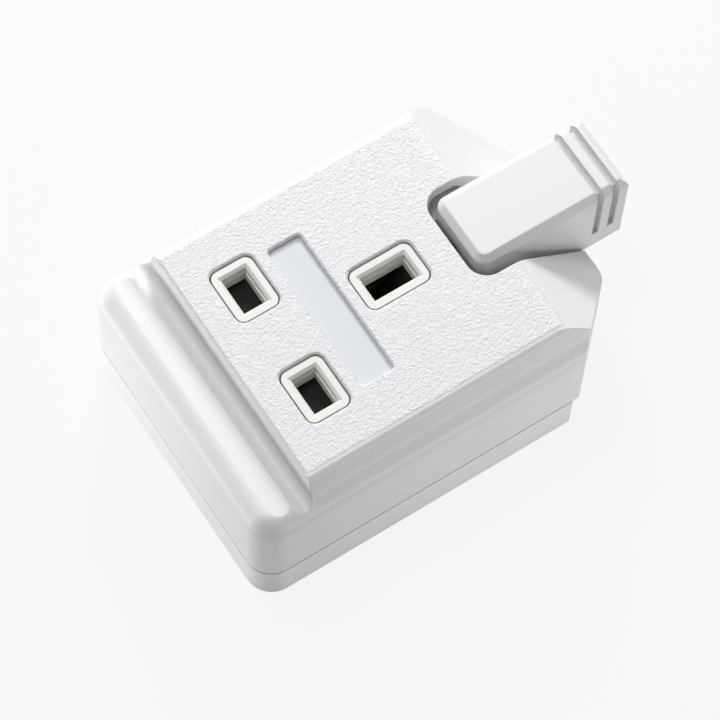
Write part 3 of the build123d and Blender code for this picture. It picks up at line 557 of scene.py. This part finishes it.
# %% The three metals of the socket
brass_finish = worked_metal(
    "Contact brass",
    bright=(0.78, 0.56, 0.24),
    tarnish=(0.42, 0.27, 0.11),
    amount=0.6,
    roughness=0.26,
    depth=0.004 * MM,
)
screw_finish = worked_metal(
    "Screw steel",
    bright=(0.66, 0.66, 0.67),
    tarnish=(0.40, 0.40, 0.42),
    amount=0.5,
    roughness=0.28,
    depth=0.002 * MM,
)
wire_finish = worked_metal(
    "Spring wire",
    bright=(0.52, 0.52, 0.53),
    tarnish=(0.30, 0.29, 0.28),
    amount=0.5,
    roughness=0.24,
    depth=0.001 * MM,
)
print("metals:", brass_finish.name, screw_finish.name, wire_finish.name)

# %% [markdown]
# ## Every solid gets its finish
#
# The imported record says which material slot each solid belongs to. A table from slot to finish is
# enough to dress all of them, and a slot that the table lacks would stop the script.

# %% Dress the solids
finishes = {
    "cover_plastic": cover_finish,
    "base_plastic": base_finish,
    "insert_plastic": insert_finish,
    "guard_plastic": guard_finish,
    "dark_plastic": shutter_finish,
    "grey_plastic": carrier_finish,
    "contact_brass": brass_finish,
    "screw_steel": screw_finish,
    "spring_steel": wire_finish,
}
subparts = frame["record"]["subparts"]
for entry in subparts:
    solid = frame["nodes"][entry["node"]]
    solid.data.materials.clear()
    solid.data.materials.append(finishes[entry["material_slot"]])
print("dressed", len(subparts), "solids in", len(finishes), "finishes")

# %% [markdown]
# ## Geometry Nodes: the shutter's return spring
#
# The real spring is steel wire wound into a coil, with a flat closed turn at each end to push on. The
# solids have a plain helix. A Screw modifier could turn a small circle into one too, but it leaves
# open ends. A coil follows a rule, so it is made by a small Geometry Nodes tree instead: a spiral
# gives the working turns, two flat rings close its ends, and a circle is swept along all three.

# %% Helpers for geometry trees
def geometry_tree(name, sizes):
    """Starts a geometry tree with named float inputs, a material input and one geometry output."""
    tree = bpy.data.node_groups.new(name, "GeometryNodeTree")
    add_socket(tree, "Geometry", "NodeSocketGeometry")
    for label, value in sizes.items():
        add_socket(tree, label, "NodeSocketFloat", value)
    add_socket(tree, "Finish", "NodeSocketMaterial")
    add_socket(tree, "Geometry", "NodeSocketGeometry", output=True)
    tree.is_modifier = True
    return tree, add_node(tree, "NodeGroupInput"), add_node(tree, "NodeGroupOutput")


def close_tree(tree, inputs, outputs, geometry):
    """Ends a tree in Realize Instances and Set Material."""
    real = add_node(tree, "GeometryNodeRealizeInstances")
    paint = add_node(tree, "GeometryNodeSetMaterial")
    join(tree, geometry, real.inputs["Geometry"])
    join(tree, real.outputs["Geometry"], paint.inputs["Geometry"])
    join(tree, inputs.outputs["Finish"], paint.inputs["Material"])
    join(tree, paint.outputs["Geometry"], outputs.inputs["Geometry"])


def grow(name, tree, values, finish):
    """Runs a geometry tree on an empty mesh and returns the result as a plain mesh object."""
    seed = bpy.data.objects.new(name + "_seed", bpy.data.meshes.new(name + "_seed"))
    bpy.context.scene.collection.objects.link(seed)
    modifier = seed.modifiers.new("grow", "NODES")
    modifier.node_group = tree
    for item in tree.interface.items_tree:
        if item.in_out == "INPUT" and item.name in values:
            modifier[item.identifier] = values[item.name]
        if item.in_out == "INPUT" and item.name == "Finish":
            modifier[item.identifier] = finish
    bpy.context.view_layer.update()
    graph = bpy.context.evaluated_depsgraph_get()
    mesh = bpy.data.meshes.new_from_object(seed.evaluated_get(graph))
    bpy.data.objects.remove(seed)
    piece = bpy.data.objects.new(name, mesh)
    bpy.context.scene.collection.objects.link(piece)
    mesh.materials.clear()
    mesh.materials.append(finish)
    print(name, "has", len(mesh.polygons), "faces")
    return piece


# %% [markdown]
# The spring's place and outer size are read from the solid that it replaces. With the number of turns
# and the wire's radius, they are the named inputs of the tree, so another spring only needs other
# numbers.

# %% Measure the spring
spring_low, spring_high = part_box("shutter_spring")
spring_length = spring_high[0] - spring_low[0]
spring_height = (spring_low[2] + spring_high[2]) / 2
wire_radius = 0.2 * MM
spring_sizes = {
    "Turns": 7.0,
    "Coil radius": (spring_high[1] - spring_low[1]) / 2 - wire_radius,
    "Wire radius": wire_radius,
    "Length": spring_length - 2 * wire_radius,
    "Start": spring_low[0] + wire_radius,
    "Centre height": spring_height,
}
print("spring", round(spring_length / MM, 2), "mm long, at", round(spring_height / MM, 2), "mm")

# %% [markdown]
# The spiral and the rings have one radius, so one input feeds them all. The far ring is the near one
# again, moved along by the spring's length.

# %% Working turns and closed ends
points_a_turn = 28
spring_tree, spring_in, spring_out = geometry_tree("Coil spring", spring_sizes)
spiral = add_node(spring_tree, "GeometryNodeCurveSpiral", "working turns", Resolution=points_a_turn)
join(spring_tree, spring_in.outputs["Turns"], spiral.inputs["Rotations"])
join(spring_tree, spring_in.outputs["Coil radius"], spiral.inputs["Start Radius"])
join(spring_tree, spring_in.outputs["Coil radius"], spiral.inputs["End Radius"])
join(spring_tree, spring_in.outputs["Length"], spiral.inputs["Height"])

ring = add_node(spring_tree, "GeometryNodeCurvePrimitiveCircle", "closed end", Resolution=points_a_turn)
join(spring_tree, spring_in.outputs["Coil radius"], ring.inputs["Radius"])
ring_place = add_node(spring_tree, "ShaderNodeCombineXYZ")
join(spring_tree, spring_in.outputs["Length"], ring_place.inputs["Z"])
far_ring = add_node(spring_tree, "GeometryNodeTransform", "far end")
join(spring_tree, ring.outputs["Curve"], far_ring.inputs["Geometry"])
join(spring_tree, ring_place.outputs[0], far_ring.inputs["Translation"])

coils = add_node(spring_tree, "GeometryNodeJoinGeometry", "turns and ends")
join(spring_tree, spiral.outputs["Curve"], coils.inputs["Geometry"])
join(spring_tree, ring.outputs["Curve"], coils.inputs["Geometry"])
join(spring_tree, far_ring.outputs["Geometry"], coils.inputs["Geometry"])
print("the spring's line has", points_a_turn, "points a turn")

# %% [markdown]
# The spiral stands upright. One Transform lays it along X and puts it at its place, and the sweep
# comes after that, so the wire stays round.

# %% Lay the spring down and sweep the wire
wire_sides = 8
spring_place = add_node(spring_tree, "ShaderNodeCombineXYZ")
join(spring_tree, spring_in.outputs["Start"], spring_place.inputs["X"])
join(spring_tree, spring_in.outputs["Centre height"], spring_place.inputs["Z"])
lay = add_node(spring_tree, "GeometryNodeTransform", "lay along X")
lay.inputs["Rotation"].default_value = (0, math.pi / 2, 0)
join(spring_tree, coils.outputs["Geometry"], lay.inputs["Geometry"])
join(spring_tree, spring_place.outputs[0], lay.inputs["Translation"])
wire = add_node(spring_tree, "GeometryNodeCurvePrimitiveCircle", "wire", Resolution=wire_sides)
join(spring_tree, spring_in.outputs["Wire radius"], wire.inputs["Radius"])
sweep = add_node(spring_tree, "GeometryNodeCurveToMesh", "sweep", Fill_Caps=True)
join(spring_tree, lay.outputs["Geometry"], sweep.inputs["Curve"])
join(spring_tree, wire.outputs["Curve"], sweep.inputs["Profile Curve"])
close_tree(spring_tree, spring_in, spring_out, sweep.outputs["Mesh"])
print("the spring tree has", len(spring_tree.nodes), "nodes")

# %% [markdown]
# The tree's result replaces the plain helix of the solids, which is hidden, and rides on the housing.

spring = grow("return_spring", spring_tree, spring_sizes, wire_finish)
for face in spring.data.polygons:
    face.use_smooth = True
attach(spring, housing)
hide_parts("shutter_spring")
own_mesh(spring)

# %% [markdown]
# ## The guard's side flanges
#
# A cord guard is held by a flange on each side, wider than the notch, that lies under the cover.
# From outside it only shows as the floor of the gap beside the guard. The two are plates with rounded
# outer corners. They start inside the guard's walls and stay clear of the bore for the cord. A cube
# with a plain Bevel modifier would be round on every edge. bmesh can stretch a box to the plate's size
# and bevel its two outer upright edges by themselves.

# %% Sizes of the flanges
guard_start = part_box("cord_guard")[0][0]
flange_top = face_height - 5.0 * MM
flange_thickness = 1.6 * MM
flange_start = guard_start - 1.2 * MM
flange_length = 10.0 * MM
flange_inner = 6.5 * MM
flange_outer = 10.6 * MM
flange_corner = 1.5 * MM
print("flanges from", round(flange_start / MM, 2), "mm, top at", round(flange_top / MM, 2), "mm")

# %% Make the flanges
flange_mesh = bpy.data.meshes.new("guard_flanges")
work = bmesh.new()
for hand in (-1, 1):
    plate = bmesh.ops.create_cube(work, size=1.0)
    for corner in plate["verts"]:
        reached = (hand * corner.co.y + 0.5) * (flange_outer - flange_inner)
        corner.co.x = flange_start + (corner.co.x + 0.5) * flange_length
        corner.co.y = hand * (flange_inner + reached)
        corner.co.z = flange_top + (corner.co.z - 0.5) * flange_thickness

halfway = (flange_inner + flange_outer) / 2
outer_edges = []
for edge in work.edges:
    first, second = (vertex.co for vertex in edge.verts)
    if abs(first.z - second.z) > flange_thickness / 2 and abs(first.y) > halfway:
        outer_edges.append(edge)
bmesh.ops.bevel(work, geom=outer_edges, offset=flange_corner, segments=6, affect="EDGES", profile=0.5)
work.to_mesh(flange_mesh)
work.free()
print("the flanges have", len(flange_mesh.polygons), "faces")

# %% [markdown]
# The plates are part of the guard's moulding, so they take its finish and ride on the housing.

# %% Dress the flanges and let them ride
flanges = bpy.data.objects.new("guard_flanges", flange_mesh)
bpy.context.scene.collection.objects.link(flanges)
flange_mesh.materials.append(guard_finish)
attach(flanges, housing)
print(flanges.name, "ride on the", housing)

# %% [markdown]
# ## The studio
#
# The photograph was taken from above and in front of the closed end, with a long lens. Its place
# was found by fitting the pin pattern and the outline, so the camera's three directions are
# written out here. The focal length follows from the fitted scale for a 720 pixel wide picture.

# %% Camera
picture_width = 720
focal_pixels = 3824.0
camera_place = Vector((-0.171913, -0.235440, 0.616367))
camera_right = Vector((0.839361, -0.543249, 0.018808))
camera_up = Vector((0.485012, 0.764105, 0.425332))
camera_back = camera_right.cross(camera_up)
lens = bpy.data.cameras.new("Camera")
lens.sensor_width = 36.0
lens.lens = focal_pixels / picture_width * lens.sensor_width
lens.clip_start = 0.01
camera = bpy.data.objects.new("Camera", lens)
bpy.context.scene.collection.objects.link(camera)
turn = Matrix((camera_right, camera_up, camera_back)).transposed()
camera.matrix_world = Matrix.Translation(camera_place) @ turn.to_4x4()
bpy.context.scene.camera = camera
print("lens", round(lens.lens, 1), "mm, distance", round(camera_place.length, 3), "m")

# %% [markdown]
# The background of the photograph is a bright white sweep. The floor is a pale plane that still
# takes the socket's soft shadow, with the faint unevenness of paper. It lies a hair below the base,
# so the two never share a plane.

# %% Floor
floor_reach = 3.0
floor_level = -0.02 * MM
paper_dark = 0.54
paper_light = 0.57
floor_corners = [
    (-floor_reach, -floor_reach, floor_level),
    (floor_reach, -floor_reach, floor_level),
    (floor_reach, floor_reach, floor_level),
    (-floor_reach, floor_reach, floor_level),
]
floor_mesh = bpy.data.meshes.new("floor")
floor_mesh.from_pydata(floor_corners, [], [(0, 1, 2, 3)])
floor = bpy.data.objects.new("floor", floor_mesh)
bpy.context.scene.collection.objects.link(floor)

floor_finish, floor_shader = new_material("Pale sweep")
floor_tree = floor_finish.node_tree
floor_shader.inputs["Roughness"].default_value = 0.9
floor_shader.inputs["Specular IOR Level"].default_value = 0.0
floor_place = add_node(floor_tree, "ShaderNodeTexCoord")
paper = add_node(floor_tree, "ShaderNodeTexNoise", "paper", Scale=14.0, Detail=3.0)
join(floor_tree, floor_place.outputs["Object"], paper.inputs["Vector"])
paper_tone = add_node(floor_tree, "ShaderNodeMapRange", "paper tone", To_Min=paper_dark, To_Max=paper_light)
join(floor_tree, paper.outputs["Fac"], paper_tone.inputs["Value"])
join(floor_tree, paper_tone.outputs["Result"], floor_shader.inputs["Base Color"])
print("floor is", 2 * floor_reach, "m wide")

# %% [markdown]
# A stronger lamp would make the floor white, but it would burn out the socket too. So a Light Path
# switch lifts only what is seen of the floor, directly, in a reflection or through glass. The soft
# light that the floor sends back to the socket stays that of pale paper.

# %% The floor's lift for the camera
def larger(tree, first, second, label):
    """Returns the larger one of two value sockets. Of two switches, that is the one that is on."""
    most = add_node(tree, "ShaderNodeMath", label, operation="MAXIMUM")
    join(tree, first, most.inputs[0])
    join(tree, second, most.inputs[1])
    return most.outputs[0]


white_share = 0.88
lift = add_node(floor_tree, "ShaderNodeEmission", "white", Strength=1.0)
path = add_node(floor_tree, "ShaderNodeLightPath")
seen = larger(floor_tree, path.outputs["Is Camera Ray"], path.outputs["Is Glossy Ray"], "camera or mirror")
seen = larger(floor_tree, seen, path.outputs["Is Transmission Ray"], "or through glass")
share = add_node(floor_tree, "ShaderNodeMath", "share of white", operation="MULTIPLY")
join(floor_tree, seen, share.inputs[0])
share.inputs[1].default_value = white_share
floor_blend = add_node(floor_tree, "ShaderNodeMixShader")
join(floor_tree, share.outputs[0], floor_blend.inputs[0])
join(floor_tree, floor_shader.outputs[0], floor_blend.inputs[1])
join(floor_tree, lift.outputs[0], floor_blend.inputs[2])
join(floor_tree, floor_blend.outputs[0], find_node(floor_finish, "OUTPUT_MATERIAL").inputs["Surface"])
floor_mesh.materials.append(floor_finish)
floor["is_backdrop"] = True
print("the camera sees the floor", white_share, "of the way to white")

# %% [markdown]
# The world is white where the camera looks at it, and a dimmer grey for the light that it sends, which
# fills the shadows. Like a room whose window is at the back, it is dimmer in front than behind: the
# direction of each ray is compared with the way to the window.

# %% The world's fill light
window_way = Vector((0.55, 0.60, 0.58)).normalized()
fill_in_front = 0.03
fill_at_window = 0.47
world = bpy.data.worlds.new("Studio")
bpy.context.scene.world = world
world.use_nodes = True
sky = world.node_tree
sky.nodes.clear()
sky_where = add_node(sky, "ShaderNodeTexCoord")
toward = add_node(sky, "ShaderNodeVectorMath", "towards the window", operation="DOT_PRODUCT")
toward.inputs[1].default_value = window_way
join(sky, sky_where.outputs["Generated"], toward.inputs[0])
falloff = add_node(sky, "ShaderNodeMapRange", "brighter behind", From_Min=-1.0, From_Max=1.0)
falloff.inputs["To Min"].default_value = fill_in_front
falloff.inputs["To Max"].default_value = fill_at_window
join(sky, toward.outputs["Value"], falloff.inputs["Value"])
sky_fill = add_node(sky, "ShaderNodeBackground", "fill")
join(sky, falloff.outputs["Result"], sky_fill.inputs["Strength"])
print("the window is at", [round(value, 2) for value in window_way])

# %% The white that the camera sees
sky_white = add_node(sky, "ShaderNodeBackground", "white", Strength=1.0)
for background in (sky_fill, sky_white):
    background.inputs["Color"].default_value = (1, 1, 1, 1)
sky_path = add_node(sky, "ShaderNodeLightPath")
sky_camera = sky_path.outputs["Is Camera Ray"]
sky_seen = larger(sky, sky_camera, sky_path.outputs["Is Transmission Ray"], "camera or through glass")
sky_mix = add_node(sky, "ShaderNodeMixShader")
sky_out = add_node(sky, "ShaderNodeOutputWorld")
join(sky, sky_seen, sky_mix.inputs[0])
join(sky, sky_fill.outputs[0], sky_mix.inputs[1])
join(sky, sky_white.outputs[0], sky_mix.inputs[2])
join(sky, sky_mix.outputs[0], sky_out.inputs[0])
print("world:", world.name, "with", len(sky.nodes), "nodes")

# %% [markdown]
# The main light is a soft box behind and to the right, low enough to rake over the grain and to
# throw the guard's shadow on the slope. It stands close, so the far end of the face is brighter than
# the near one. A second box, nearly overhead, keeps that shadow pale.

# %% The two soft boxes
middle = Vector((0, 0, 0.02))


def area_lamp(name, place, target, width, height, strength):
    """Adds a rectangular area lamp at a place, turned to look at a target."""
    lamp = bpy.data.lights.new(name, "AREA")
    lamp.shape = "RECTANGLE"
    lamp.size = width
    lamp.size_y = height
    lamp.energy = strength
    holder = bpy.data.objects.new(name, lamp)
    bpy.context.scene.collection.objects.link(holder)
    holder.location = place
    holder.rotation_euler = (place - target).to_track_quat("Z", "Y").to_euler()
    holder.visible_camera = False
    print(name, "at", [round(value, 3) for value in place], "with", strength, "W")
    return holder


def from_angles(azimuth, elevation, distance):
    """Gives the place at a distance from the socket's middle, from two angles in degrees."""
    heading = math.radians(azimuth)
    rise = math.radians(elevation)
    level = math.cos(rise)
    return middle + distance * Vector((math.cos(heading) * level, math.sin(heading) * level, math.sin(rise)))


key_place = from_angles(azimuth=60.0, elevation=37.0, distance=0.60)
back_place = from_angles(azimuth=120.0, elevation=72.0, distance=1.0)
area_lamp("key_box", key_place, middle, width=0.16, height=0.16, strength=2.40)
area_lamp("back_box", back_place, middle, width=0.40, height=0.40, strength=3.6)

# %% [markdown]
# Two small glowing cards stand low beside the closed end and the long front wall, which both boxes
# leave dark. Light linking keeps them off the floor, where they would leave bright patches.

# %% The two low cards
wall_height = 0.010
left_foot = Vector((closed_end, 0.0, wall_height))
front_foot = Vector((0.012, front_side, wall_height))
left_place = left_foot + Vector((-0.070, 0.034, -0.002))
front_place = front_foot + Vector((0.022, -0.085, -0.002))
left_card = area_lamp("left_card", left_place, left_foot, width=0.10, height=0.010, strength=0.046)
front_card = area_lamp("front_card", front_place, front_foot, width=0.12, height=0.010, strength=0.038)

kept_off = bpy.data.collections.new("Kept off the cards")
kept_off.objects.link(floor)
kept_off.collection_objects[0].light_linking.link_state = "EXCLUDE"
for card in (left_card, front_card):
    card.light_linking.receiver_collection = kept_off

# %% [markdown]
# ## Colour management and the sizes
#
# Standard shows a colour about as it is written. The sizes of the solids and of the finished model
# are printed side by side.

# %% View and size
bpy.context.scene.view_settings.view_transform = "Standard"
visual_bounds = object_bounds()
{"cad": plain(cad_bounds), "visual": plain(visual_bounds)}
print("solids:", plain(cad_bounds))
print("visual:", plain(visual_bounds))
